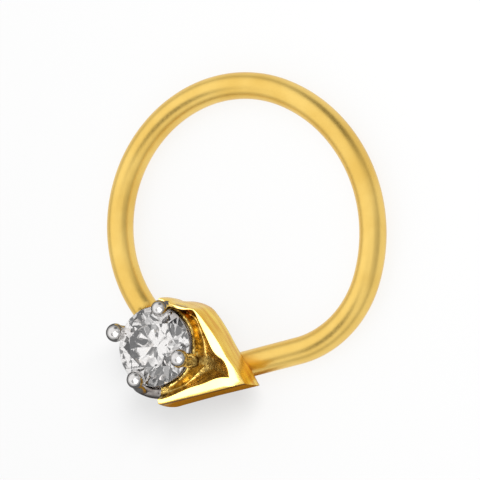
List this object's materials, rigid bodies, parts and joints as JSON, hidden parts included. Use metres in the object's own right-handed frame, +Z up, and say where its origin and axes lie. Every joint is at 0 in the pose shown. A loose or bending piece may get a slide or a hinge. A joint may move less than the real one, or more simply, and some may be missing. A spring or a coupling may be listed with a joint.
{
  "type": "nose pin",
  "caption": "Gold wire nose hoop with a pointed folded frame and a claw-set round brilliant, lying on its side.",
  "frame": {"origin": "middle of the pin's box, on the surface that the hoop lies on", "axes": "+Z up through the hoop, the way the stone faces; +Y across the hoop from the head's end to the far side; +X to the right of the head"},
  "size_m": [0.0104, 0.0112, 0.0025],
  "materials": {
    "yellow_gold": "18 carat yellow gold, satin on the wire and polished on the frame",
    "white_rhodium": "white rhodium plating, polished",
    "diamond_crystal": "cut and polished, clear"
  },
  "bodies": {
    "root": {"hoop_and_frame": "yellow_gold", "claw_setting": "white_rhodium", "brilliant": "diamond_crystal"}
  },
  "joints": []
}
